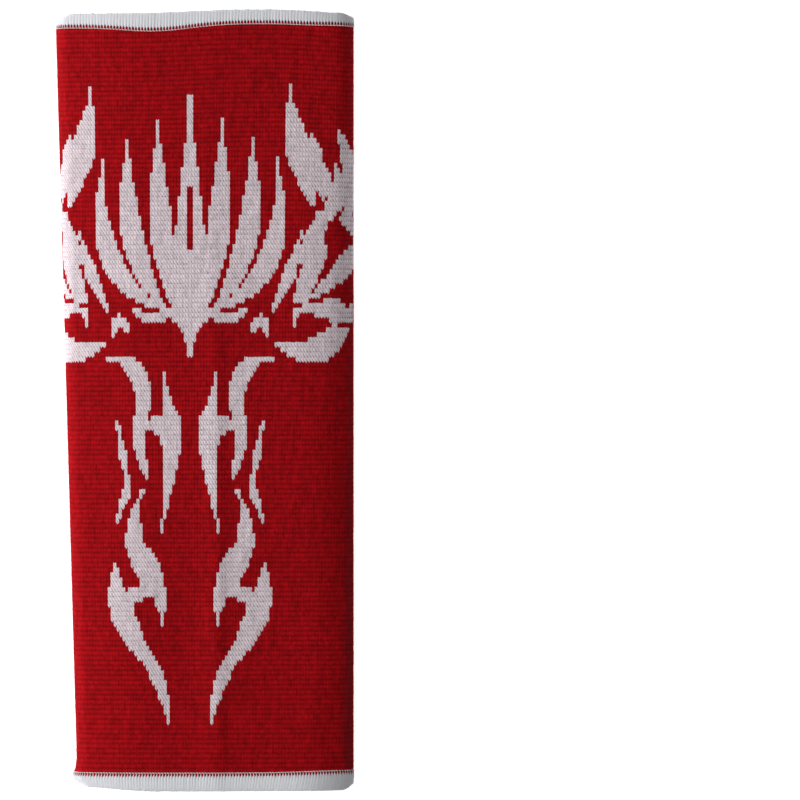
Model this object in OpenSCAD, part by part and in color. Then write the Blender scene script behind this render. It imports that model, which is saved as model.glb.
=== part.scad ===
// Knitted slip-on elbow pad: a tapered elastic knit tube, overlocked at both ends,
// with a thin foam pad held against its inner face. It lies flat on its back.
// X runs across the tube, Y along it with the upper-arm end at +Y, and Z up.
// The origin is at the bottom centre of the whole pad. All sizes are in millimetres.

/* [Sleeve] */
// Length of the pad from hem to hem
sleeve_length = 240; // [200:5:280]
// Flat width at the upper-arm end
upper_width = 92; // [84:1:110]
// Flat width at the forearm end
lower_width = 86; // [80:1:92]
// Height of the crowned top above the surface it lies on
crown_height = 14; // [13.5:0.5:18]
// Outer radius of the two side folds
fold_radius = 5.25; // [3.5:0.25:6]

/* [Knit wall] */
// Thickness of the outer face of the knit
face_thickness = 0.85; // [0.7:0.05:1]
// Thickness of each elastic thread
elastic_size = 0.5; // [0.4:0.05:0.6]
// Thickness of the inner face of the knit
back_thickness = 0.65; // [0.5:0.05:0.8]
// Distance from one elastic thread to the next
rib_pitch = 1.5; // [1.25:0.25:3]

/* [Hems] */
// Width of the overlocked band at each end
hem_width = 4.4; // [3.5:0.1:6]
// Thickness of the band's thread on each side of the knit
hem_thread = 0.45; // [0.3:0.05:0.5]
// Thickness of the needle thread beside the band
needle_thread = 0.35; // [0.25:0.05:0.4]

/* [Foam pad] */
// Width of the foam pad across the sleeve
pad_width = 56; // [40:1:58]
// Length of the foam pad along the sleeve
pad_length = 96; // [70:1:130]
// Thickness of the foam
pad_thickness = 3; // [2:0.25:3.5]
// Width of the cover's sewn edge around the foam
cover_edge = 5; // [4:0.5:6]
// Thickness of the cover fabric
cover_thickness = 0.4; // [0.3:0.05:0.5]
// Number of stitches around the cover
stitch_count = 84; // [48:2:96]

/* [Hidden] */

layer_gap = 0.05;
fold_lap = 0.2;
floor_gap = 0.05;
foam_gap = 0.15;
stitch_length = 2.4;
stitch_lean = 30;
stitch_outset = 0.6;
half_length = sleeve_length / 2;
hem_start = half_length - hem_width;
needle_start = hem_start - 3 * needle_thread;

// Depths below the outer surface at which each layer of the wall starts and ends
face_end = face_thickness;
elastic_start = face_end + layer_gap;
elastic_end = elastic_start + elastic_size;
back_start = elastic_end + layer_gap;
back_end = back_start + back_thickness;
edge_middle = back_end / 2;
pressed_face = floor_gap + hem_thread + layer_gap;
pressed_back = back_end - hem_thread - layer_gap;

// The foam and its cover hang below the inner face, in the same depths
foam_start = back_end + foam_gap;
foam_end = foam_start + pad_thickness;
cover_end = foam_end + layer_gap + cover_thickness;

fold_steps = 10;
crown_steps = 20;
fine = 96;
pad_span = 2 * pad_length;

// The right side is straight, and the left side slants in to the forearm end.
function share(y) = (y + half_length) / sleeve_length;
function half_width(y) = (lower_width + (upper_width - lower_width) * share(y)) / 2;
function middle_x(y) = upper_width / 2 - half_width(y);

// The section is flat below, round at each fold, and one arc over the top.
crown_rise = crown_height - 2 * fold_radius;
function fold_x(y) = half_width(y) - fold_radius;
function crown_drop(y) = (pow(fold_x(y), 2) - pow(crown_rise, 2)) / (2 * crown_rise);
function crown_radius(y) = crown_height - fold_radius + crown_drop(y);
function crown_centre(y) = fold_radius - crown_drop(y);
function crown_angle(y) = atan2(fold_x(y), crown_drop(y));

function fold_point(y, depth, angle) = [
    fold_x(y) + (fold_radius - depth) * cos(angle),
    fold_radius + (fold_radius - depth) * sin(angle)
];
function crown_point(y, depth, angle) = [
    (crown_radius(y) - depth) * cos(angle),
    crown_centre(y) + (crown_radius(y) - depth) * sin(angle)
];
function section(y, depth) = let (top = 90 - crown_angle(y)) concat(
    [for (i = [0 : fold_steps]) fold_point(y, depth, -90 + (90 + top) * i / fold_steps)],
    [for (i = [1 : crown_steps - 1])
        crown_point(y, depth, top + 2 * crown_angle(y) * i / crown_steps)],
    [for (i = [fold_steps : -1 : 0])
        let (p = fold_point(y, depth, -90 + (90 + top) * i / fold_steps)) [-p[0], p[1]]]
);

// Sweeps a closed outline of [y, depth] corners once around the sleeve's section.
module around(outline) {
    rings = [for (p = outline) [
        for (q = section(p[0], p[1])) [q[0] + middle_x(p[0]), p[0], q[1]]]];
    n = len(rings[0]);
    m = len(rings);
    polyhedron(
        points = [for (ring = rings) each ring],
        faces = [
            for (i = [0 : m - 1]) for (j = [0 : n - 1])
                let (a = i * n + j, b = i * n + (j + 1) % n,
                     c = ((i + 1) % m) * n + (j + 1) % n, d = ((i + 1) % m) * n + j)
                each [[a, d, c], [a, c, b]]
        ]
    );
}

// Outlines of the parts of the wall, for the end at +Y. side = -1 gives the other end.
function at_end(outline, side) = side > 0 ? outline :
    [for (i = [len(outline) - 1 : -1 : 0]) [-outline[i][0], outline[i][1]]];
knit_end = half_length - hem_thread - layer_gap;

module wall_layer(outer, inner, pressed_outer, pressed_inner) {
    around([
        [-knit_end, pressed_outer], [-needle_start, pressed_outer], [-needle_start, outer],
        [needle_start, outer], [needle_start, pressed_outer], [knit_end, pressed_outer],
        [knit_end, pressed_inner], [needle_start, pressed_inner], [needle_start, inner],
        [-needle_start, inner], [-needle_start, pressed_inner], [-knit_end, pressed_inner]
    ]);
}

module knit_face() {
    color("firebrick")
        wall_layer(0, face_end, pressed_face, edge_middle - layer_gap);
}

module knit_back() {
    color("darkred")
        wall_layer(back_start, back_end, edge_middle + layer_gap, pressed_back);
}

// The same section as a true arc outline, for the threads that lie inside the wall.
// The middle laps a little past each fold's tangent points, so that no faces merely touch.
module section_area(y, depth) {
    lap_angle = crown_angle(y) + fold_lap / crown_radius(y) * 180 / PI;
    lap_radius = crown_radius(y) - depth + fold_lap;
    lap_x = lap_radius * sin(lap_angle);
    lap_z = crown_centre(y) + lap_radius * cos(lap_angle);
    for (side = [-1, 1])
        translate([side * fold_x(y), fold_radius]) circle(fold_radius - depth, $fn = fine);
    intersection() {
        translate([0, crown_centre(y)]) circle(crown_radius(y) - depth, $fn = 4 * fine);
        polygon([
            [-fold_x(y) - fold_lap, depth], [fold_x(y) + fold_lap, depth],
            [lap_x, lap_z], [lap_x, crown_height], [-lap_x, crown_height], [-lap_x, lap_z]
        ]);
    }
}

module elastic_ring(y) {
    translate([middle_x(y), y + elastic_size / 2, 0]) rotate([90, 0, 0])
        linear_extrude(elastic_size) difference() {
            section_area(y, elastic_start);
            section_area(y, elastic_end);
        }
}

module elastic_threads() {
    ring_count = floor(2 * (needle_start - rib_pitch) / rib_pitch);
    color("ivory")
        for (i = [0 : ring_count]) elastic_ring((i - ring_count / 2) * rib_pitch);
}

// Each hem is overlocked: one thread lies on the face, one inside, and they meet on the edge.
module hem_face_thread(side) {
    color("whitesmoke") around(at_end([
        [hem_start, floor_gap], [half_length, floor_gap],
        [half_length, edge_middle - layer_gap / 2], [knit_end + layer_gap, edge_middle - layer_gap / 2],
        [knit_end + layer_gap, floor_gap + hem_thread], [hem_start, floor_gap + hem_thread]
    ], side));
}

module hem_inside_thread(side) {
    color("gainsboro") around(at_end([
        [knit_end + layer_gap, edge_middle + layer_gap / 2], [half_length, edge_middle + layer_gap / 2],
        [half_length, back_end], [hem_start, back_end],
        [hem_start, back_end - hem_thread], [knit_end + layer_gap, back_end - hem_thread]
    ], side));
}

module hem_needle_thread(side) {
    start = needle_start + needle_thread;
    color("white") around(at_end([
        [start, floor_gap], [start + needle_thread, floor_gap],
        [start + needle_thread, floor_gap + needle_thread], [start, floor_gap + needle_thread]
    ], side));
}

module upper_hem_face_thread() { hem_face_thread(1); }
module upper_hem_inside_thread() { hem_inside_thread(1); }
module upper_hem_needle_thread() { hem_needle_thread(1); }
module lower_hem_face_thread() { hem_face_thread(-1); }
module lower_hem_inside_thread() { hem_inside_thread(-1); }
module lower_hem_needle_thread() { hem_needle_thread(-1); }

// The pad's outline in plan, with round ends, grown by a margin on every side
module pad_plan(margin) {
    radius = pad_width / 2 + margin;
    offset_y = (pad_length - pad_width) / 2;
    for (side = [-1, 1]) translate([0, side * offset_y]) circle(radius, $fn = fine);
    square([2 * radius, 2 * offset_y], center = true);
}

// A sheet that follows the crown of the sleeve between two depths, inside the pad outline
module crown_sheet(from_depth, to_depth, margin) {
    translate([middle_x(0), 0, 0]) intersection() {
        translate([0, 0, crown_centre(0)]) rotate([90, 0, 0]) difference() {
            cylinder(h = pad_span, r = crown_radius(0) - from_depth, center = true, $fn = 4 * fine);
            cylinder(h = 2 * pad_span, r = crown_radius(0) - to_depth, center = true, $fn = 4 * fine);
        }
        linear_extrude(crown_height) pad_plan(margin);
    }
}

module foam_pad() {
    color("dimgray") crown_sheet(foam_start, foam_end, 0);
}

module pad_cover() {
    color("darkslategray") union() {
        difference() {
            crown_sheet(foam_start, cover_end, layer_gap + cover_thickness);
            crown_sheet(0, foam_end + layer_gap, layer_gap);
        }
        difference() {
            crown_sheet(foam_start, foam_start + cover_thickness, cover_edge);
            crown_sheet(0, cover_end, layer_gap);
        }
    }
}

// The stitches lie on the cover's sewn edge and lean left and right in turn.
module pad_cover_stitching() {
    radius = (pad_width + cover_edge) / 2 + stitch_outset;
    offset_y = (pad_length - pad_width) / 2;
    run = 2 * PI * radius + 4 * offset_y;
    color("ivory") intersection() {
        crown_sheet(foam_start + cover_thickness + layer_gap,
                    foam_start + cover_thickness + layer_gap + needle_thread, cover_edge);
        translate([middle_x(0), 0, 0]) for (i = [0 : stitch_count - 1])
            stitch_at(run * i / stitch_count, radius, offset_y, i % 2 == 0 ? stitch_lean : -stitch_lean);
    }
}

// Places one stitch at a distance along the stitch line, leaning by an angle across it
module stitch_at(distance, radius, offset_y, lean) {
    half_turn = PI * radius;
    straight = 2 * offset_y;
    second = distance >= half_turn + straight;
    along = second ? distance - half_turn - straight : distance;
    turn = second ? 180 : 0;
    rotate(turn) {
        if (along < half_turn)
            translate([0, offset_y, 0]) rotate(180 * along / half_turn)
                translate([radius, 0, 0]) rotate(lean) stitch();
        else
            translate([-radius, offset_y - (along - half_turn), 0]) rotate(lean) stitch();
    }
}

module stitch() {
    translate([-needle_thread / 2, -stitch_length / 2, 0])
        cube([needle_thread, stitch_length, crown_height]);
}

knit_face();
elastic_threads();
knit_back();
upper_hem_face_thread();
upper_hem_inside_thread();
upper_hem_needle_thread();
lower_hem_face_thread();
lower_hem_inside_thread();
lower_hem_needle_thread();
foam_pad();
pad_cover();
pad_cover_stitching();
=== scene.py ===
"""Visual model of the knitted elbow pad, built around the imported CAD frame.

The pad is a tapered knit tube lying flat, printed side up. Every stitch of the outer face is
modelled, and so is every thread of the two overlocked hems. The inside holds the inner knit, the
laid-in elastic, and a thin foam pad under a sewn cover.

Lengths are in millimetres until a mesh is made. A place on the sleeve is given by
- turn: the share of the way round, from 0 on the pattern's centre line, over the +X side,
- y: the distance along the sleeve,
- depth: the distance in from the outer surface.
"""

import math

import bpy
import numpy as np
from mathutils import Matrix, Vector


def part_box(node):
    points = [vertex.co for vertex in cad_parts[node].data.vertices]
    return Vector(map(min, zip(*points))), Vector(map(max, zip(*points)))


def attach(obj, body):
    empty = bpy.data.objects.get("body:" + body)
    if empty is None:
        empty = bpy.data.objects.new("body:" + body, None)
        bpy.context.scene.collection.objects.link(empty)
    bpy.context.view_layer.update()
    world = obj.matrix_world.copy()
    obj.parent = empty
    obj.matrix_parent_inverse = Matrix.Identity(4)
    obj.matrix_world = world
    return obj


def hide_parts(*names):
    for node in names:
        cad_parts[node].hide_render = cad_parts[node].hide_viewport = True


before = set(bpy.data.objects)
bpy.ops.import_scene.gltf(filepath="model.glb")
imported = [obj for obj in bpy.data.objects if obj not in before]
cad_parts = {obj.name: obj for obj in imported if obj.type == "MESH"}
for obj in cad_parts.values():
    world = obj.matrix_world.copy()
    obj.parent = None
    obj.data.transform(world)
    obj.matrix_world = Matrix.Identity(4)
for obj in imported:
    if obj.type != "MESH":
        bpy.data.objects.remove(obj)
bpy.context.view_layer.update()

MM = 0.001


def box_mm(node):
    """The lowest and highest corner of a CAD node, in millimetres."""
    return [np.array(corner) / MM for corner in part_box(node)]


# The sleeve, from the CAD boxes
UPPER_LOW, UPPER_HIGH = box_mm("upper_hem_face_thread")
LOWER_LOW, _ = box_mm("lower_hem_face_thread")
PAD_LOW, PAD_HIGH = box_mm("foam_pad")
COVER_LOW, COVER_HIGH = box_mm("pad_cover")
HALF_LENGTH = UPPER_HIGH[1]
RIGHT_X = UPPER_HIGH[0]
UPPER_LEFT_X = UPPER_LOW[0]
LOWER_LEFT_X = LOWER_LOW[0]
CROWN_Z = UPPER_HIGH[2]
# Height of the side folds' middle, and how far in the left one rounds over
FOLD_Z = 5.25
FOLD_REACH = 3.8
# The powers of the dome on top and of the underside: the higher, the flatter
DOME_POWER = 2.4
UNDER_POWER = 8
# How far the top layer sinks below the CAD's crown
SETTLE = 0.25
# How far the left fold lies inside the CAD's lower band
HEM_PROUD = 0.9
# The CAD's gap between the wall and the foam, and the thickness of the wall
PAD_GAP = 0.15
WALL = CROWN_Z - PAD_HIGH[2] - PAD_GAP

# The knit: its wales round the sleeve and its rows along it
WALES = 204
ROW_PITCH = 1.5
KNIT_END = HALF_LENGTH - 1.2
ROWS = round(2 * KNIT_END / ROW_PITCH)
# Columns, and rows, of the mesh in each stitch of the outer face
PER_STITCH = 4
# Rows that a leg of a white V rises, and the share of that in red
STITCH_LIFT = 0.42
RED_LIFT = 0.45
# How far the yarn's twist lifts the left leg and lowers the right one
YARN_SKEW = 0.09
# Where the pattern's centre line runs over the top
PATTERN_X = -4.2

# The hems: the width of each band, the thin strand beside it, and half the thread's thickness
UPPER_BAND = 3.4
LOWER_BAND = 4.6
STRAND = 1.1
THREAD_HIGH = 0.26
RIM = WALL / 2 - THREAD_HIGH

# The pad inside: the foam's thickness, and how far the foam and the cover lie from the wall
FOAM = 3.0
FOAM_CLEAR = 0.25
COVER_CLEAR = 0.35
PAD_X = (PAD_LOW[0] + PAD_HIGH[0]) / 2
PAD_HALF = (PAD_HIGH - PAD_LOW) / 2
COVER_HALF = (COVER_HIGH - COVER_LOW) / 2
# The roundness of the pad's outline in plan: 2 is an ellipse, and more is squarer
PLAN_POWER = 2.6

rng = np.random.default_rng(7)


# ---------------------------------------------------------------- the sleeve's shape

def smooth_step(x, start, end):
    """From 0 at start to 1 at end, level at both."""
    t = np.clip((x - start) / (end - start), 0, 1)
    return t * t * (3 - 2 * t)


def bump(offset, reach):
    """A smooth rise to 1 where offset is 0."""
    return np.exp(-((offset / reach) ** 2))


def edges_at(y):
    """The x of the left and the right side fold. The left one flares where the lower hem begins."""
    share = (y + HALF_LENGTH) / (2 * HALF_LENGTH)
    lower_left = LOWER_LEFT_X + HEM_PROUD
    left = lower_left + (UPPER_LEFT_X - lower_left) * share
    flare = 1.7 * bump(y + HALF_LENGTH - LOWER_BAND, 2.2)
    return left - flare, np.full_like(share, RIGHT_X)


def crown(across, y):
    """Height of the top layer: a round fold at each side, and a low dome that leans left."""
    left, right = edges_at(y)
    from_edge = (right - left) / 2 * (1 - np.abs(across))
    # The right fold rounds over from further in, and more so toward the forearm end
    right_reach = 6.0 + 6.5 * smooth_step(-y, -100, 70) + 5.0 * smooth_step(-y, 75, 108)
    reach = np.where(across < 0, FOLD_REACH, right_reach)
    fold = FOLD_Z * np.sqrt(1 - np.clip(1 - from_edge / reach, 0, 1) ** 2)
    lean = 0.25 + 0.15 * smooth_step(-y, 20, 80)
    shifted = across + lean * (1 - across ** 2)
    return FOLD_Z + fold + (CROWN_Z - 2 * FOLD_Z) * (1 - np.abs(shifted) ** DOME_POWER)


# Stations along the sleeve and points round it, how far the stations run past its ends, points
# in the first trace of a section, and points to each side that a normal is taken over
STATIONS = 81
ROUND = 1440
OVERRUN = 2
TRACE = 4001
NORMAL_SPAN = 4


def ring_table():
    """Evenly spaced points and normals round the section, at evenly spaced stations along y."""
    stations = np.linspace(-HALF_LENGTH - OVERRUN, HALF_LENGTH + OVERRUN, STATIONS)
    left, right = edges_at(np.clip(stations, -HALF_LENGTH, HALF_LENGTH))
    angle = np.linspace(0, 2 * math.pi, TRACE)
    over_top = slice(0, TRACE // 2 + 1)
    table = np.zeros((STATIONS, ROUND, 4))
    for k in range(STATIONS):
        half = (right[k] - left[k]) / 2
        # Clockwise from the left fold, over the top, seen along +Y
        across = -np.cos(angle)
        top = crown(across, stations[k])
        bottom = FOLD_Z * (1 - np.sqrt(np.maximum(1 - np.abs(across) ** UNDER_POWER, 0)))
        x = (left[k] + right[k]) / 2 + half * across
        z = np.where(angle <= math.pi, top, bottom)
        run = np.concatenate([[0], np.cumsum(np.hypot(np.diff(x), np.diff(z)))])
        start = np.interp(PATTERN_X, x[over_top], run[over_top])
        want = (start + np.arange(ROUND) / ROUND * run[-1]) % run[-1]
        even_x, even_z = np.interp(want, run, x), np.interp(want, run, z)
        step_x = np.roll(even_x, -NORMAL_SPAN) - np.roll(even_x, NORMAL_SPAN)
        step_z = np.roll(even_z, -NORMAL_SPAN) - np.roll(even_z, NORMAL_SPAN)
        size = np.hypot(step_x, step_z)
        table[k] = np.stack([even_x, even_z, -step_z / size, step_x / size], axis=1)
    return table


RINGS = ring_table()
MIDDLE_RING = RINGS[STATIONS // 2, :, :2]
PERIMETER = np.linalg.norm(MIDDLE_RING - np.roll(MIDDLE_RING, 1, axis=0), axis=1).sum()
RIGHT_FOLD = np.argmax(MIDDLE_RING[:, 0]) / ROUND


def ring_point(turn, y):
    """x, z and the outward normal's x and z at a place on the outer surface."""
    share = (y + HALF_LENGTH + OVERRUN) / (2 * HALF_LENGTH + 2 * OVERRUN)
    station = np.clip(share, 0, 1) * (STATIONS - 1)
    first = np.minimum(station.astype(int), STATIONS - 2)
    place = (turn % 1.0) * ROUND
    before = place.astype(int) % ROUND
    after = (before + 1) % ROUND
    past_first = (station - first)[..., None]
    past_before = (place - np.floor(place))[..., None]
    near = RINGS[first, before] * (1 - past_before) + RINGS[first, after] * past_before
    far = RINGS[first + 1, before] * (1 - past_before) + RINGS[first + 1, after] * past_before
    return np.moveaxis(near * (1 - past_first) + far * past_first, -1, 0)


def across_at(turn, y):
    """From -1 at the left fold to 1 at the right fold."""
    left, right = edges_at(np.clip(y, -HALF_LENGTH, HALF_LENGTH))
    x = ring_point(turn, y)[0]
    return np.clip((2 * x - left - right) / (right - left), -1, 1)


def end_shift(turn, y):
    """How far a place moves along y, because the hems wave and pull in at the folds."""
    across = across_at(turn, y)
    left_wave = 1.25 * (1 - smooth_step(across, -0.5, 0.35))
    wave = -0.15 - left_wave - 1.2 * smooth_step(across, 0.45, 1.1)
    upper_left = 3.5 * np.clip((-across - 0.86) / 0.14, 0, 1) ** 2
    upper_pull = upper_left + 0.8 * smooth_step(across, 0.93, 1)
    lower_left = 1.3 * smooth_step(-across, 0.4, 1) + 0.8 * smooth_step(-across, 0.9, 1)
    lower_pull = lower_left + 1.9 * np.clip((across - 0.9) / 0.1, 0, 1) ** 2
    return (
        wave * smooth_step(y, 20, HALF_LENGTH)
        - upper_pull * smooth_step(y, HALF_LENGTH - UPPER_BAND, HALF_LENGTH)
        + lower_pull * smooth_step(-y, HALF_LENGTH - LOWER_BAND, HALF_LENGTH)
    )


def undulation(x, y):
    """The slow rise and fall of the top layer, with a faint fold line along its length."""
    slow = (
        0.14 * np.sin(x / 11.0 + y / 47.0 + 0.6)
        + 0.12 * np.sin(x / 17.0 - y / 29.0 + 2.1)
        + 0.08 * np.sin(x / 7.5 + y / 83.0 + 4.0)
    )
    lower = smooth_step(-y, -60, 20)
    fold_x = 2.2 + 1.8 * lower
    ridge = (0.22 + 0.60 * lower) * bump(x - fold_x, np.where(x < fold_x, 4.2, 2.6))
    ridge = ridge * (1 - 0.75 * smooth_step(np.abs(y), HALF_LENGTH - 12, HALF_LENGTH - 3))
    swells = 0.35 * bump(x + 22, 6) * bump(y, 80) + 1.2 * bump(x - 32, 9) * bump(y - 20, 62)
    hollow = 1.1 * bump(x + 6, 9) * bump(y + 74, 26) + 0.6 * bump(x - 24, 14) * bump(y + 74, 26)
    return slow + ridge + swells - hollow


def surface(turn, y, depth):
    """Points in millimetres at places on the sleeve, with the outward normals."""
    y_moved = y + end_shift(turn, y)
    x, z, normal_x, normal_z = ring_point(turn, y)
    size = np.hypot(normal_x, normal_z)
    normal_x, normal_z = normal_x / size, normal_z / size
    # Only the part that faces up rises and falls
    up = smooth_step(normal_z, 0.3, 0.95)
    out = (undulation(x, y) - SETTLE) * up - depth
    points = np.stack([x + normal_x * out, y_moved, z + normal_z * out], axis=-1)
    normals = np.stack([normal_x, np.zeros_like(normal_x), normal_z], axis=-1)
    return points, normals


# ---------------------------------------------------------------- the pattern

# Steps along a blade, how sharply it tapers, and the half width of its tips in wales
BLADE_STEPS = 25
BLADE_TAPER = 1.25
TIP_WALES = 0.505


def blade(start, bend, end, width, peak=0.5):
    """The outline of a flame, along a curve from start by bend to end.

    It is widest at peak, a share of its length, and narrows to both ends, where it is just over
    one wale wide."""
    t = np.linspace(0, 1, BLADE_STEPS)[:, None]
    start, bend, end = np.array(start, float), np.array(bend, float), np.array(end, float)
    spine = (1 - t) ** 2 * start + 2 * t * (1 - t) * bend + t * t * end
    along = 2 * (1 - t) * (bend - start) + 2 * t * (end - bend)
    side = np.stack([-along[:, 1], along[:, 0]], axis=1)
    side /= np.linalg.norm(side, axis=1)[:, None]
    power = math.log(0.5) / math.log(peak)
    narrowest = TIP_WALES * PERIMETER / WALES
    half = np.maximum(width / 2 * np.sin(math.pi * t ** power) ** BLADE_TAPER, narrowest)
    return np.concatenate([spine + side * half, (spine - side * half)[::-1]])


# Distances from the pattern's centre line round the sleeve, and along it, in millimetres.
# Each blade is mirrored to the other side.
CREST = [
    blade((0, 13), (0, 42), (0, 94), 9.5, 0.42),
    blade((1.5, 20), (11, 44), (9.3, 87), 6.8, 0.55),
    blade((3, 23), (22, 40), (18.3, 82), 6.8, 0.55),
    blade((4, 26), (32, 35), (26, 74), 6.4),
    blade((3, 30), (11, 20), (19, 30), 3.6),
]
CREST_GAPS = [
    blade((0, 66), (0, 57), (0, 46), 2.6, 0.6),
]
UPPER_FLAMES = [
    blade((29.6, 97), (29.5, 84), (38, 57), 7.5, 0.6),
    blade((43, 86), (50.5, 73), (54, 52), 7, 0.55),
    blade((36, 82), (41, 66), (54, 48), 9.5),
    blade((44, 64), (36, 46), (31, 21), 8.5),
    blade((33.6, 52), (31, 38), (23.5, 24), 3.6),
    blade((55, 52), (52, 40), (36, 32), 9),
    blade((25, 18), (42, 7), (53, 33), 8.5),
    blade((30, 28), (43, 33), (56, 18), 7.5, 0.45),
    blade((21.7, 27), (20, 23), (17.2, 19), 2),
    blade((21.4, 27), (22, 23), (24.4, 19), 2),
]
UPPER_GAPS = [
    blade((38.4, 85), (41, 76), (43.5, 67), 3, 0.65),
    blade((47, 60), (42, 54), (42, 44), 4.4, 0.6),
    blade((56, 45), (47, 31), (31, 28.8), 2.6),
    blade((35, 57), (38, 59), (41.5, 62.5), 1.8, 0.4),
    blade((33.4, 42), (31.2, 33), (29, 26), 1.5),
    blade((36, 26), (36, 22.5), (36, 19), 4.8),
    blade((57, 21), (52, 22), (45, 23.5), 3, 0.4),
]
MIDDLE_FLAMES = [
    blade((26, 12.5), (11, 15), (14.5, -14), 5.6),
    blade((15, 4), (17.6, -14), (12.4, -26), 3.8),
    blade((7, 0), (3.6, -12), (9.4, -42.5), 6.4, 0.32),
    blade((8, 8), (7.4, 2), (6, -9), 2.8, 0.6),
    blade((2.4, -9.5), (9, -7), (18, -8), 5),
    blade((22.6, -6), (20.2, -18), (19, -28), 2.3),
    blade((18.2, -21), (19.2, -29), (23.6, -39), 2.4, 0.45),
]
LOWER_FLAMES = [
    blade((14.2, -27), (21.5, -42), (12, -60), 5.4, 0.55),
    blade((20, -41), (9.5, -50), (8.2, -71), 6.4, 0.45),
    blade((23, -49), (25, -68), (8, -86), 7.6, 0.48),
    blade((10, -55), (17, -61), (25, -62), 5.2),
    blade((17, -72), (8.8, -84), (6.2, -101), 4.2, 0.45),
]


def inside(outline, x, y):
    """True for each point that lies within a closed outline."""
    found = np.zeros(x.shape, bool)
    for (start_x, start_y), (end_x, end_y) in zip(outline, np.roll(outline, -1, axis=0)):
        crosses = (start_y > y) != (end_y > y)
        reach = start_x + (y - start_y) * (end_x - start_x) / (end_y - start_y + 1e-12)
        found ^= crosses & (x < reach)
    return found


def white_stitches():
    """For each row and wale, whether the stitch is knitted in white."""
    wale = (np.arange(WALES) + 0.5) / WALES
    from_centre = np.minimum(wale, 1 - wale) * PERIMETER
    along = -KNIT_END + (np.arange(ROWS) + 0.5) * ROW_PITCH
    y, x = np.meshgrid(along, from_centre, indexing="ij")
    white = np.zeros(x.shape, bool)
    for outline in CREST + UPPER_FLAMES + MIDDLE_FLAMES + LOWER_FLAMES:
        white |= inside(outline, x, y)
    for outline in CREST_GAPS + UPPER_GAPS:
        white &= ~inside(outline, x, y)
    # A stitch that only touches the pattern at a corner stays red
    beside = np.roll(white, 1, axis=1) | np.roll(white, -1, axis=1)
    in_line = np.roll(white, 1, axis=0) | np.roll(white, -1, axis=0)
    return white & (beside | in_line)


# ---------------------------------------------------------------- making meshes

def make_piece(name, points, faces, materials, replaced, face_material=None, thread=None):
    """A smooth mesh piece from millimetre points, riding the root body."""
    mesh = bpy.data.meshes.new(name)
    points = np.asarray(points, float).reshape(-1, 3) * MM
    points[:, 2] = np.maximum(points[:, 2], 0)
    faces = np.asarray(faces, np.int32).reshape(-1, 4)
    mesh.vertices.add(len(points))
    mesh.vertices.foreach_set("co", points.ravel())
    mesh.loops.add(faces.size)
    mesh.loops.foreach_set("vertex_index", faces.ravel())
    mesh.polygons.add(len(faces))
    mesh.polygons.foreach_set("loop_start", np.arange(0, faces.size, 4, dtype=np.int32))
    for material in materials:
        mesh.materials.append(material)
    if face_material is not None:
        mesh.polygons.foreach_set("material_index", np.asarray(face_material, np.int32).ravel())
    if thread is not None:
        attribute = mesh.attributes.new("thread", "FLOAT_VECTOR", "POINT")
        attribute.data.foreach_set("vector", np.asarray(thread, float).ravel())
    mesh.update(calc_edges=True)
    mesh.validate()
    mesh.shade_smooth()
    piece = bpy.data.objects.new(name, mesh)
    bpy.context.scene.collection.objects.link(piece)
    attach(piece, "root")
    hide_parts(*replaced)
    return piece


def grid_faces(rows, columns, wrap):
    """Quads of a grid of points, row by row. wrap joins the last column to the first."""
    column = np.arange(columns if wrap else columns - 1)
    start = np.arange(rows - 1)[:, None] * columns
    here = start + column
    beside = start + (column + 1) % columns
    return np.stack([here, beside, beside + columns, here + columns], axis=-1).reshape(-1, 4)


def tubes(centres, wide_axis, high_axis, wide, high, sides, closed=False):
    """Points, quads and thread places of tubes, whose centres are (tubes, steps, 3).

    wide and high are radii. A thread place is the tube's number, the step and the turn."""
    count, steps = centres.shape[:2]
    angle = np.arange(sides) / sides * 2 * math.pi
    ring = (
        wide_axis[:, :, None] * (np.cos(angle)[:, None] * wide[..., None, None])
        + high_axis[:, :, None] * (np.sin(angle)[:, None] * high[..., None, None])
    )
    points = centres[:, :, None] + ring
    faces = grid_faces(steps + 1 if closed else steps, sides, True)
    if closed:
        faces = faces % (steps * sides)
    faces = (faces[None] + (np.arange(count) * steps * sides)[:, None, None]).reshape(-1, 4)
    along = np.broadcast_to(np.arange(steps)[None, :, None], (count, steps, sides))
    number = np.broadcast_to(np.arange(count)[:, None, None], (count, steps, sides))
    turn = np.broadcast_to(angle / (2 * math.pi), (count, steps, sides))
    return points, faces, np.stack([number, along, turn], axis=-1)


# ---------------------------------------------------------------- the knit

def pressed(y):
    """From 0 on the open knit to 1 inside a hem, where the thread presses it thin."""
    reach = 1.5
    upper = HALF_LENGTH - UPPER_BAND - 1.0
    lower = HALF_LENGTH - LOWER_BAND
    return smooth_step(y, upper, upper + reach) + smooth_step(-y, lower, lower + reach)


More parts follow.
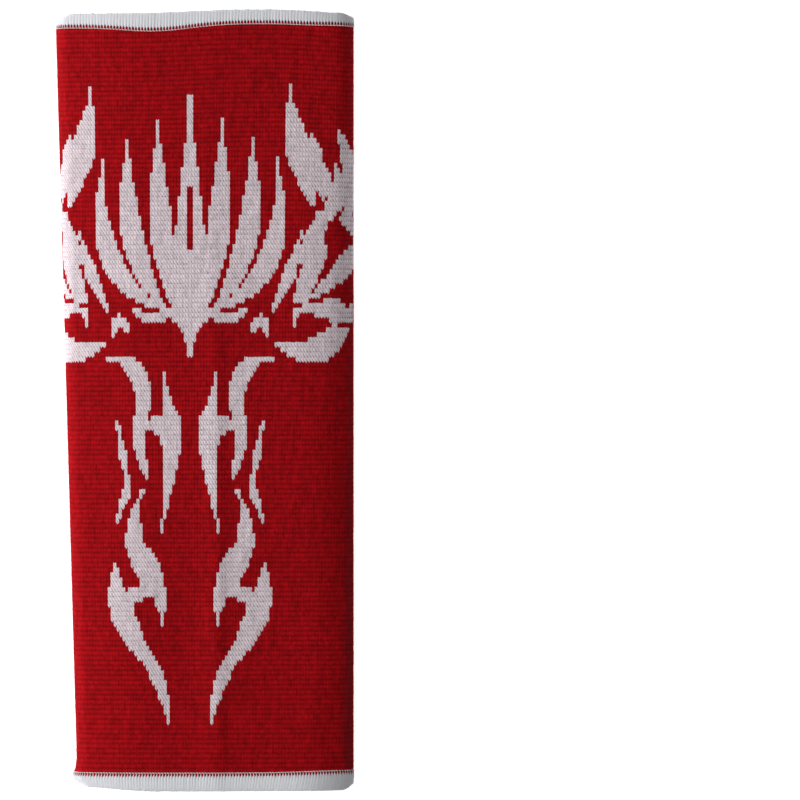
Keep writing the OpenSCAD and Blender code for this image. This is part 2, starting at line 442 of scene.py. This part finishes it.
def knit_face(red, white):
    """The outer face: one V of two legs for each stitch."""
    columns, rows = PER_STITCH * WALES, PER_STITCH * ROWS + 1
    is_white = np.repeat(np.repeat(white_stitches(), PER_STITCH, axis=0), PER_STITCH, axis=1)
    # A stitch's columns are the gap beside its V, the left leg, the middle and the right leg
    column = np.arange(columns) % PER_STITCH
    place = np.array([-0.5, -0.25, 0.0, 0.25])[column]
    is_leg, is_middle = column % 2 == 1, column == 2
    # t is the share of the way up a stitch
    t = (np.arange(rows) % PER_STITCH / PER_STITCH)[:, None]
    wale = np.broadcast_to(np.arange(columns) // PER_STITCH + 0.5 + place, (rows, columns))
    row = np.broadcast_to(np.arange(rows)[:, None] / PER_STITCH, (rows, columns))
    # The legs of a V start close together and spread as they rise
    lean = np.where(is_leg, np.sign(place), 0) * (0.2 * t - 0.09)
    lift_share = np.where(np.pad(is_white, ((0, 1), (0, 0))), 1, RED_LIFT)
    lift = STITCH_LIFT * (2 * np.abs(place) - 0.5) * lift_share
    # The middle sinks as the legs spread, and the gap beside them rises
    between = np.where(is_middle, 0.14 - 0.26 * t, -0.14 + 0.30 * t)
    # The yarn's twist lifts the left leg over the right one
    leg = 0.26 - 0.12 * t ** 2 - YARN_SKEW * np.sign(place)
    height = np.where(is_leg, leg, between) + 0.08 * np.sin(math.pi * t)
    # Stitches differ a little in height, and stand a little out of line
    stitch = (np.minimum(np.arange(rows) // PER_STITCH, ROWS - 1)[:, None],
              (np.arange(columns) // PER_STITCH)[None])
    fat = rng.normal(1, 0.12, (ROWS, WALES))[stitch]
    slip = rng.normal(0, 0.03, (ROWS, WALES))[stitch]
    y = np.clip(-KNIT_END + (row + lift + slip) * ROW_PITCH, -KNIT_END, KNIT_END)
    # The stitches stand lower where the knit is stretched round the folds and under the hems
    facing_up = smooth_step(np.abs(ring_point(wale / WALES, y)[3]), 0, 0.6)
    relief = (0.4 + 0.6 * facing_up) * (1 - 0.7 * pressed(y))
    depth = 0.12 + (0.24 - height * fat) * relief + 0.45 * pressed(y)
    points, _ = surface((wale + lean) / WALES, y, depth)
    thread = np.stack([wale, row, row + lift], axis=-1)
    return make_piece("Knit_face", points, grid_faces(rows, columns, True), [red, white],
                      ["knit_face"], is_white, thread)


def knit_back(material):
    """The inner face: flat loops, one ridge and one groove for each wale and row."""
    columns, rows = 2 * WALES, 2 * ROWS + 1
    wale = np.broadcast_to(np.arange(columns)[None] / 2, (rows, columns))
    row = np.broadcast_to(np.arange(rows)[:, None] / 2, (rows, columns))
    ridge = 0.12 * np.cos(2 * math.pi * wale) * np.cos(2 * math.pi * row)
    y = -KNIT_END + row * ROW_PITCH
    points, _ = surface(wale / WALES, y, WALL - 0.14 + ridge - 0.5 * pressed(y))
    thread = np.stack([wale, row, row], axis=-1)
    faces = grid_faces(rows, columns, True)[:, ::-1]
    return make_piece("Knit_back", points, faces, [material],
                      ["knit_back"], thread=thread)


def elastic_helix(material):
    """The covered rubber thread, one long helix with a turn in every row."""
    reach = HALF_LENGTH - LOWER_BAND - STRAND - 2
    turns = int(2 * reach / ROW_PITCH)
    along = np.arange(turns * WALES + 1) / WALES
    y = (along - turns / 2) * ROW_PITCH
    centres, normals = surface(along % 1.0, y, np.full_like(y, WALL / 2 + 0.15))
    sideways = np.broadcast_to(np.array([0.0, 1.0, 0.0]), centres.shape)
    radius = np.full((1, len(y)), 0.24)
    points, faces, thread = tubes(centres[None], sideways[None], normals[None], radius, radius, 4)
    return make_piece("Elastic_thread", points, faces, [material],
                      ["elastic_threads"], thread=thread)


# ---------------------------------------------------------------- the hems

def band_width(turn, side):
    """Width of a hem's band, which varies a little round the sleeve."""
    across = across_at(turn, np.full_like(turn, side * HALF_LENGTH))
    if side > 0:
        return UPPER_BAND + 1.2 * bump(across + 0.31, 0.3) - 0.6 * smooth_step(across, 0.6, 1)
    return LOWER_BAND + 0.5 * smooth_step(across, 0.3, 0.9)


def hem_threads(name, side, outer, material, replaced):
    """The wraps of one overlock thread, one to a wale: strand, band, then round the rim.

    side is 1 at the upper-arm end and -1 at the forearm end. outer is True on the outside."""
    turn = (np.arange(WALES) + 0.5 + rng.normal(0, 0.02, WALES))[:, None] / WALES
    end = HALF_LENGTH - THREAD_HIGH + rng.normal(0, 0.04, (WALES, 1))
    start = HALF_LENGTH - band_width(turn, side)
    # The three stretches of a wrap, each by its share or its angle
    strand = np.linspace(0, 1, 4)[None, :-1]
    band = np.linspace(0, 1, 5)[None]
    rim = np.linspace(0, math.pi / 2, 5)[None, 1:]
    along = np.concatenate([
        start - STRAND * (1 - strand),
        start + (end - RIM - start) * band,
        end - RIM * (1 - np.sin(rim))], axis=1)
    depth = np.concatenate([
        0.14 * strand,
        0.14 + 0.10 * np.sin(math.pi / 2 * band),
        0.24 + RIM * (1 - np.cos(rim))], axis=1)
    # Half widths, from a thin strand to a band broad enough to cover the next wrap's side
    wide = np.concatenate([
        0.09 + 0.20 * strand ** 2,
        0.46 + 0.36 * band ** 0.3,
        0.82 - 0.1 * rim], axis=1)
    high = np.full(wide.shape, THREAD_HIGH)
    high[:, :strand.shape[1]] = 0.12 + 0.10 * strand
    closed = np.ones_like(wide)
    closed[:, -1] = 0.05
    puff = rng.normal(1, 0.03, (WALES, 1)) * closed
    slant = np.linspace(-0.3, 0.1, along.shape[1]) / WALES * side
    places, y = np.broadcast_arrays(turn + slant, side * along)
    depth = np.broadcast_to(depth if outer else WALL - depth, y.shape)
    centres, normals = surface(places, y, depth)
    path = np.gradient(centres, axis=1)
    path /= np.linalg.norm(path, axis=-1, keepdims=True)
    round_axis = np.stack([normals[..., 2], np.zeros_like(y), -normals[..., 0]], axis=-1)
    high_axis = np.cross(path, round_axis)
    points, faces, thread = tubes(centres, round_axis, high_axis, wide * puff, high * puff, 10)
    return make_piece(name, points, faces, [material], replaced, thread=thread)


def needle_line(name, side, material, replaced):
    """The needle thread: a bead at each stitch, joined into one thin line round the sleeve."""
    per_stitch = 6
    count = WALES * per_stitch
    turn = np.arange(count) / count
    bead = np.abs(np.sin(math.pi * np.arange(count) / per_stitch))
    y = side * (HALF_LENGTH - band_width(turn, side) - STRAND - 0.1)
    centres, normals = surface(turn, y, 0.28 - 0.26 * bead)
    along_y = np.broadcast_to(np.array([0.0, 1.0, 0.0]), centres.shape)
    radius = (0.05 + 0.09 * bead)[None]
    points, faces, thread = tubes(centres[None], along_y[None], normals[None],
                                  radius * 1.15, radius, 6, closed=True)
    return make_piece(name, points, faces, [material], replaced, thread=thread)


# ---------------------------------------------------------------- the pad inside

def pad_outline(angle, half_wide, half_long):
    """A rounded outline in plan, flatter at its sides than an ellipse."""
    power = 2 / PLAN_POWER
    x = np.sign(np.cos(angle)) * np.abs(np.cos(angle)) ** power * half_wide
    y = np.sign(np.sin(angle)) * np.abs(np.sin(angle)) ** power * half_long
    return x, y


def under_crown(x, y, depth):
    """Points below the top layer of the sleeve, at a depth under its outer surface."""
    left, right = edges_at(y)
    across = np.clip((2 * x - left - right) / (right - left), -0.98, 0.98)
    return np.stack([x, y, crown(across, y) + undulation(x, y) - SETTLE - depth], axis=-1)


def foam_pad(material):
    """The foam: a thin closed cushion with rolled edges, curved like the crown above it."""
    rings, around = 26, 96
    angle = np.arange(around) / around * 2 * math.pi
    roll = np.linspace(0, math.pi, rings)[:, None]
    out = np.maximum(np.sin(roll), 0.02) ** 0.35
    x, y = pad_outline(angle, PAD_HALF[0], PAD_HALF[1])
    under = 0.5 - 0.5 * np.sign(np.cos(roll)) * np.abs(np.cos(roll)) ** 0.6
    depth = WALL + FOAM_CLEAR + FOAM * under
    points = under_crown(PAD_X + out * x, out * y, depth).reshape(-1, 3)
    last = (rings - 1) * around
    middles = [points[:around].mean(axis=0), points[last:].mean(axis=0)]
    # Each end is closed by a fan of quads about its middle
    corner = np.arange(0, around, 2)
    faces = [grid_faces(rings, around, True)]
    for start, middle, order in ((0, len(points), (2, 1, 0)), (last, len(points) + 1, (0, 1, 2))):
        rim = [start + (corner + step) % around for step in order]
        faces.append(np.stack([np.full_like(corner, middle)] + rim, axis=1))
    points = np.concatenate([points, middles])
    faces = np.concatenate(faces)
    return make_piece("Foam_pad", points, faces, [material], ["foam_pad"])


def pad_cover(material):
    """The cover: a cloth patch over the foam, with a flat sewn edge all round."""
    rings, around = 40, 160
    angle = np.arange(around) / around * 2 * math.pi
    out = np.linspace(0.02, 1, rings)[:, None] ** 0.8
    x, y = pad_outline(angle, COVER_HALF[0], COVER_HALF[1])
    # The cover leaves the wall round the foam's edge, and passes under the foam
    foam_x, foam_y = pad_outline(angle, PAD_HALF[0] + 0.8, PAD_HALF[1] + 0.8)
    reach = np.hypot(foam_x, foam_y) / np.hypot(x, y)
    fall = 1 - smooth_step(out / reach, 0.88, 1.03)
    depth = WALL + COVER_CLEAR + (FOAM + COVER_CLEAR) * fall
    points = under_crown(PAD_X + out * x, out * y, depth).reshape(-1, 3)
    thread = np.stack([out * x, out * y, np.zeros_like(out * x)], axis=-1)
    faces = grid_faces(rings, around, True)
    return make_piece("Pad_cover", points, faces, [material],
                      ["pad_cover"], thread=thread)


def cover_stitches(material):
    """A zigzag row of short stitches round the cover's sewn edge."""
    count, steps = 168, 5
    angle = (np.arange(count) + 0.5) / count * 2 * math.pi
    t = np.linspace(-0.5, 0.5, steps)
    swing = np.where(np.arange(count) % 2 == 0, 1, -1)[:, None] * 1.1 * 2 * t
    middle_x, middle_y = (PAD_HALF[:2] + COVER_HALF[:2]) / 2
    x, y = pad_outline(angle[:, None] + t * 2 * math.pi / count, middle_x + swing, middle_y + swing)
    depth = WALL + 0.62 - 0.25 * (2 * np.abs(t)) ** 2
    centres = under_crown(PAD_X + x, y, depth)
    path = np.gradient(centres, axis=1)
    path /= np.linalg.norm(path, axis=-1, keepdims=True)
    up = np.broadcast_to(np.array([0.0, 0.0, 1.0]), centres.shape)
    side = np.cross(path, up)
    radius = np.broadcast_to(0.17 * np.array([0.5, 0.9, 1, 0.9, 0.5]), (count, steps))
    points, faces, thread = tubes(centres, side, up, radius, radius, 6)
    return make_piece("Cover_stitches", points, faces, [material],
                      ["pad_cover_stitching"], thread=thread)


# ---------------------------------------------------------------- materials

def shader(name, roughness, sheen=0.0):
    """A new material, its node tree, and the node of its surface."""
    material = bpy.data.materials.new(name)
    material.use_nodes = True
    tree = material.node_tree
    surface_node = tree.nodes["Principled BSDF"]
    surface_node.inputs["Roughness"].default_value = roughness
    surface_node.inputs["Specular IOR Level"].default_value = 0.25
    surface_node.inputs["Sheen Weight"].default_value = sheen
    surface_node.inputs["Sheen Roughness"].default_value = 0.5
    return material, tree, surface_node


def add(tree, kind, inputs=(), **settings):
    """Adds a node, sets its properties, and links or sets its inputs."""
    node = tree.nodes.new(kind)
    for key, value in settings.items():
        setattr(node, key, value)
    for key, value in dict(inputs).items():
        if isinstance(value, bpy.types.NodeSocket):
            tree.links.new(value, node.inputs[key])
        else:
            node.inputs[key].default_value = value
    return node


def maths(tree, operation, a, b=0.0):
    """The result of a maths node."""
    return add(tree, "ShaderNodeMath", {0: a, 1: b}, operation=operation).outputs[0]


def mix_colour(tree, share, a, b):
    """From colour a where share is 0 to colour b where it is 1."""
    return add(tree, "ShaderNodeMix", {0: share, 6: a, 7: b}, data_type="RGBA").outputs[2]


def map_range(tree, value, start, end, low, high, interpolation="LINEAR"):
    """From low where value is start to high where it is end."""
    return add(tree, "ShaderNodeMapRange", {0: value, 1: start, 2: end, 3: low, 4: high},
               interpolation_type=interpolation).outputs[0]


def noise(tree, place, scale, detail=3.0):
    """Soft noise from 0 to 1."""
    return add(tree, "ShaderNodeTexNoise", {"Vector": place, "Scale": scale, "Detail": detail}).outputs[0]


def tone_of(tree, place):
    """A level from 0 to 1 that stays the same over one place."""
    return add(tree, "ShaderNodeTexWhiteNoise", {"Vector": place}).outputs["Value"]


def join(tree, x, y, z=0.0):
    """A vector of three values."""
    return add(tree, "ShaderNodeCombineXYZ", {"X": x, "Y": y, "Z": z}).outputs[0]


def dress(tree, surface_node, colour, wear, roughness, height, strength, distance):
    """Gives a surface its colour, a roughness between two levels by wear, and a fine relief."""
    tree.links.new(colour, surface_node.inputs["Base Color"])
    rough = map_range(tree, wear, 0.0, 1.0, *roughness)
    tree.links.new(rough, surface_node.inputs["Roughness"])
    relief = add(tree, "ShaderNodeBump", {"Height": height, "Strength": strength, "Distance": distance})
    tree.links.new(relief.outputs[0], surface_node.inputs["Normal"])


def thread_parts(tree):
    """The thread attribute and its three parts."""
    vector = add(tree, "ShaderNodeAttribute", attribute_name="thread").outputs["Vector"]
    parts = add(tree, "ShaderNodeSeparateXYZ", {"Vector": vector})
    return vector, parts.outputs[0], parts.outputs[1], parts.outputs[2]


def from_whole(tree, value, width):
    """1 where value is a whole number, falling to 0 at width from it."""
    off = maths(tree, "ABSOLUTE", maths(tree, "SUBTRACT", value, maths(tree, "ROUND", value)))
    return map_range(tree, off, 0.0, width, 1.0, 0.0, "SMOOTHSTEP")


def near_right_fold(tree, wale, inner, outer, amount):
    """amount within inner wales of the +X fold, falling to 0 at outer."""
    off = maths(tree, "ABSOLUTE", maths(tree, "SUBTRACT", wale, RIGHT_FOLD * WALES))
    return map_range(tree, off, inner, outer, amount, 0.0, "SMOOTHSTEP")


def painted_gap_shade(tree, row_gap, row_width, hole, centre_hole, slant):
    """How dark the painted shade in the gaps of the knit is, from 0 to 1.

    row_gap and row_width are the darkness and the width of the painted shade line between rows.
    hole and centre_hole are the darkness of the painted shade in the gaps beside each V and
    inside it. slant is the darkness of a painted shade line that steps one wale to the left in each row."""
    vector, wale, row, level = thread_parts(tree)
    uneven = map_range(tree, noise(tree, vector, 0.4), 0.35, 0.65, 0.65, 1.35)
    near_row = from_whole(tree, level, row_width)
    beside = maths(tree, "MULTIPLY", from_whole(tree, wale, 0.3), maths(tree, "ADD", near_row, 0.25))
    half_on = maths(tree, "MULTIPLY", from_whole(tree, maths(tree, "ADD", wale, 0.5), 0.24),
                    from_whole(tree, maths(tree, "ADD", row, 0.4), 0.36))
    holes = maths(tree, "MAXIMUM", beside, maths(tree, "MULTIPLY", half_on, centre_hole))
    depth = maths(tree, "MULTIPLY", maths(tree, "MULTIPLY", holes, uneven), hole)
    line = maths(tree, "MULTIPLY", maths(tree, "MULTIPLY", near_row, uneven), row_gap)
    dark = maths(tree, "MAXIMUM", line, depth)
    if slant:
        strokes = from_whole(tree, maths(tree, "ADD", wale, level), 0.3)
        dark = maths(tree, "MAXIMUM", dark, maths(tree, "MULTIPLY", strokes, slant))
    return dark


def knit_yarn(name, colour, gap_shade_colour, spread, sheen_tint, row_gap, row_width, hole, centre_hole,
              slant=0.0, painted_fold_shade=0.0):
    """Yarn of the knit: fibres along each leg, a tone for each stitch, and painted shade in its gaps.

    spread is how much the brightness varies. painted_fold_shade is how much painted shade darkens the
    stitches on the +X fold, most at the forearm end. painted_gap_shade tells the rest."""
    material, tree, surface_node = shader(name, 0.85, 0.3)
    surface_node.inputs["Sheen Tint"].default_value = sheen_tint
    surface_node.inputs["Specular IOR Level"].default_value = 0.06
    vector, wale, row, _ = thread_parts(tree)
    along_leg = add(tree, "ShaderNodeVectorMath", {0: vector, 1: (22.0, 3.0, 0.0)},
                    operation="MULTIPLY").outputs[0]
    fibre = noise(tree, along_leg, 1.0)
    tone = tone_of(tree, join(tree, maths(tree, "FLOOR", wale), maths(tree, "FLOOR", row)))
    column = join(tree, maths(tree, "MULTIPLY", wale, 0.6), maths(tree, "MULTIPLY", row, 0.12))
    streak = noise(tree, column, 1.0, 2.0)
    bright = 1.0
    for part, share in ((fibre, 1.0), (tone, 0.4), (streak, 0.9)):
        change = maths(tree, "MULTIPLY", maths(tree, "SUBTRACT", part, 0.5), share * spread)
        bright = maths(tree, "ADD", change, bright)
    base = add(tree, "ShaderNodeVectorMath", {0: colour[:3], "Scale": bright},
               operation="SCALE").outputs[0]
    # Painted shade in the gaps beside and inside each V and between the rows
    dark = painted_gap_shade(tree, row_gap, row_width, hole, centre_hole, slant)
    yarn = mix_colour(tree, dark, base, gap_shade_colour)
    # Painted shade: the stitches on the +X fold darken, most at the forearm end
    if painted_fold_shade:
        lower = map_range(tree, row, 0.3 * ROWS, 0.8 * ROWS, 1.0, 0.6)
        share = maths(tree, "MULTIPLY", near_right_fold(tree, wale, 1.0, 6.0, painted_fold_shade), lower)
        yarn = mix_colour(tree, share, yarn, (0.055, 0.01, 0.014, 1))
    dress(tree, surface_node, yarn, fibre, (0.72, 0.95), fibre, 0.6, 0.00008)
    return material


def sewing_yarn(name, colour, dark, roughness=0.8, painted_shade_by_fold=0.0):
    """Loose fibres wound along a thread, from its own run and turn. It may take a painted grey shade by
    the +X fold.
    """
    material, tree, surface_node = shader(name, roughness, 0.25)
    _, number, along, turn = thread_parts(tree)
    wound = join(tree, maths(tree, "MULTIPLY", turn, 9.0), maths(tree, "MULTIPLY", along, 0.35), number)
    fibre = noise(tree, wound, 2.0)
    tone = tone_of(tree, number)
    share = maths(tree, "ADD", maths(tree, "MULTIPLY", fibre, 0.85), maths(tree, "MULTIPLY", tone, 0.15))
    tinted = mix_colour(tree, share, dark, colour)
    # Painted shade: the wraps near the +X fold turn grey
    if painted_shade_by_fold:
        near = near_right_fold(tree, number, 0.0, 26.0, painted_shade_by_fold)
        tinted = mix_colour(tree, near, tinted, (0.16, 0.155, 0.15, 1))
    dress(tree, surface_node, tinted, fibre, (roughness - 0.1, roughness + 0.12), fibre, 0.7, 0.00012)
    return material


def cover_cloth(name, colour, light):
    """A fine plain-woven cloth, from the cover's own millimetres."""
    material, tree, surface_node = shader(name, 0.85, 0.2)
    vector, across, along, _ = thread_parts(tree)
    warp = maths(tree, "SINE", maths(tree, "MULTIPLY", across, 9.0))
    weft = maths(tree, "SINE", maths(tree, "MULTIPLY", along, 9.0))
    weave = maths(tree, "MULTIPLY", warp, weft)
    mottle = noise(tree, vector, 0.4)
    share = maths(tree, "ADD", maths(tree, "MULTIPLY", weave, 0.2), mottle)
    cloth = mix_colour(tree, share, colour, light)
    dress(tree, surface_node, cloth, mottle, (0.75, 0.95), weave, 0.5, 0.0001)
    return material


def closed_foam(name, colour, pore):
    """Closed-cell foam with fine pores."""
    material, tree, surface_node = shader(name, 0.9)
    place = add(tree, "ShaderNodeTexCoord").outputs["Object"]
    cells = add(tree, "ShaderNodeTexVoronoi", {"Vector": place, "Scale": 1600.0}).outputs["Distance"]
    speckled = mix_colour(tree, cells, pore, colour)
    dress(tree, surface_node, speckled, cells, (0.8, 1.0), cells, 0.6, 0.0002)
    return material


def pad_materials():
    """Every material of the pad, by the name it goes by here."""
    return {
        # Each knit yarn's gap colour is painted shade in its gaps, and the red yarn's fold amount is
        # painted shade on the +X fold
        "red": knit_yarn(
            "Red_yarn", colour=(0.383, 0.0027, 0.0058, 1), gap_shade_colour=(0.03, 0.001, 0.002, 1),
            spread=0.7, sheen_tint=(0.8, 0.05, 0.08, 1), row_gap=0.35, row_width=0.5,
            hole=0.42, centre_hole=0.25, painted_fold_shade=0.45),
        "white": knit_yarn(
            "White_yarn", colour=(0.82, 0.705, 0.75, 1), gap_shade_colour=(0.08, 0.055, 0.065, 1),
            spread=0.4, sheen_tint=(1, 0.95, 0.97, 1), row_gap=0.04, row_width=0.34,
            hole=0.6, centre_hole=0.4, slant=0.45),
        "backing": knit_yarn(
            "Backing_yarn", colour=(0.22, 0.006, 0.01, 1), gap_shade_colour=(0.05, 0.001, 0.002, 1),
            spread=0.5, sheen_tint=(0.8, 0.05, 0.08, 1), row_gap=0.3, row_width=0.4,
            hole=0.4, centre_hole=0.5),
        # The hem yarn's fold amount is a painted grey shade by the +X fold
        "hem": sewing_yarn(
            "Hem_yarn", colour=(0.71, 0.715, 0.75, 1), dark=(0.50, 0.505, 0.53, 1), painted_shade_by_fold=0.5),
        "needle": sewing_yarn(
            "Needle_yarn", colour=(0.82, 0.70, 0.70, 1), dark=(0.62, 0.44, 0.45, 1)),
        "rubber": sewing_yarn(
            "Rubber_yarn", colour=(0.62, 0.58, 0.50, 1), dark=(0.42, 0.38, 0.32, 1), roughness=0.7),
        "seam": sewing_yarn(
            "Seam_yarn", colour=(0.62, 0.60, 0.56, 1), dark=(0.40, 0.38, 0.35, 1)),
        "cover": cover_cloth(
            "Cover_cloth", colour=(0.012, 0.012, 0.014, 1), light=(0.05, 0.05, 0.055, 1)),
        "foam": closed_foam(
            "Foam", colour=(0.10, 0.10, 0.105, 1), pore=(0.03, 0.03, 0.03, 1)),
    }


# ---------------------------------------------------------------- the studio

def studio_floor():
    """A plain white table, lit from within so that it stays nearly free of shadow."""
    material, tree, bsdf = shader("Table_white", 0.9)
    bsdf.inputs["Base Color"].default_value = (0.9, 0.9, 0.9, 1)
    bsdf.inputs["Emission Color"].default_value = (1, 1, 1, 1)
    bsdf.inputs["Emission Strength"].default_value = 0.7
    half = 6.0
    mesh = bpy.data.meshes.new("Table")
    corners = [(-half, -half, 0), (half, -half, 0), (half, half, 0), (-half, half, 0)]
    mesh.from_pydata(corners, [], [(0, 1, 2, 3)])
    mesh.materials.append(material)
    floor = bpy.data.objects.new("Table", mesh)
    bpy.context.scene.collection.objects.link(floor)


def area_light(name, place, width, height, power):
    """A soft lamp that faces the middle of the pad."""
    data = bpy.data.lights.new(name, "AREA")
    data.shape, data.size, data.size_y, data.energy = "RECTANGLE", width, height, power
    lamp = bpy.data.objects.new(name, data)
    lamp.location = place
    lamp.rotation_euler = (-Vector(place)).to_track_quat("-Z", "Y").to_euler()
    bpy.context.scene.collection.objects.link(lamp)


def studio_lights():
    """A soft lamp from the left, a weaker one from above, and a pale surround."""
    area_light("Key_left", place=(-1.35, 0.15, 0.75), width=0.8, height=1.2, power=28)
    area_light("Fill_top", place=(0.2, 0.2, 1.9), width=1.6, height=1.6, power=6.5)
    world = bpy.data.worlds.new("Studio")
    bpy.context.scene.world = world
    world.use_nodes = True
    world.node_tree.nodes["Background"].inputs["Color"].default_value = (1, 1, 1, 1)
    world.node_tree.nodes["Background"].inputs["Strength"].default_value = 0.32


def overhead_camera():
    """Straight down from far above, with the pad in the left half of the picture."""
    picture_width = 0.2458
    picture_x = 0.0601
    data = bpy.data.cameras.new("Overhead")
    data.lens, data.sensor_width = 250, 36
    camera = bpy.data.objects.new("Overhead", data)
    away = picture_width / 2 / math.tan(math.atan(data.sensor_width / 2 / data.lens))
    camera.location = (picture_x, 0.0, away + CROWN_Z * MM / 2)
    data.clip_end = 10
    bpy.context.scene.collection.objects.link(camera)
    bpy.context.scene.camera = camera


# ---------------------------------------------------------------- putting it together

def build_pad():
    """Builds every piece."""
    use = pad_materials()
    face = knit_face(use["red"], use["white"])
    back = knit_back(use["backing"])
    elastic_helix(use["rubber"])
    for name, side in (("upper", 1), ("lower", -1)):
        title = name.capitalize()
        hem_threads(f"{title}_hem_face_thread", side, True, use["hem"],
                                [f"{name}_hem_face_thread"])
        needle_line(f"{title}_hem_needle_thread", side, use["needle"],
                                [f"{name}_hem_needle_thread"])
        hem_threads(f"{title}_hem_inside_thread", side, False, use["hem"],
                    [f"{name}_hem_inside_thread"])
    pad = foam_pad(use["foam"])
    patch = pad_cover(use["cover"])
    stitches = cover_stitches(use["seam"])


build_pad()
studio_floor()
studio_lights()
overhead_camera()
bpy.context.scene.view_settings.view_transform = "Standard"
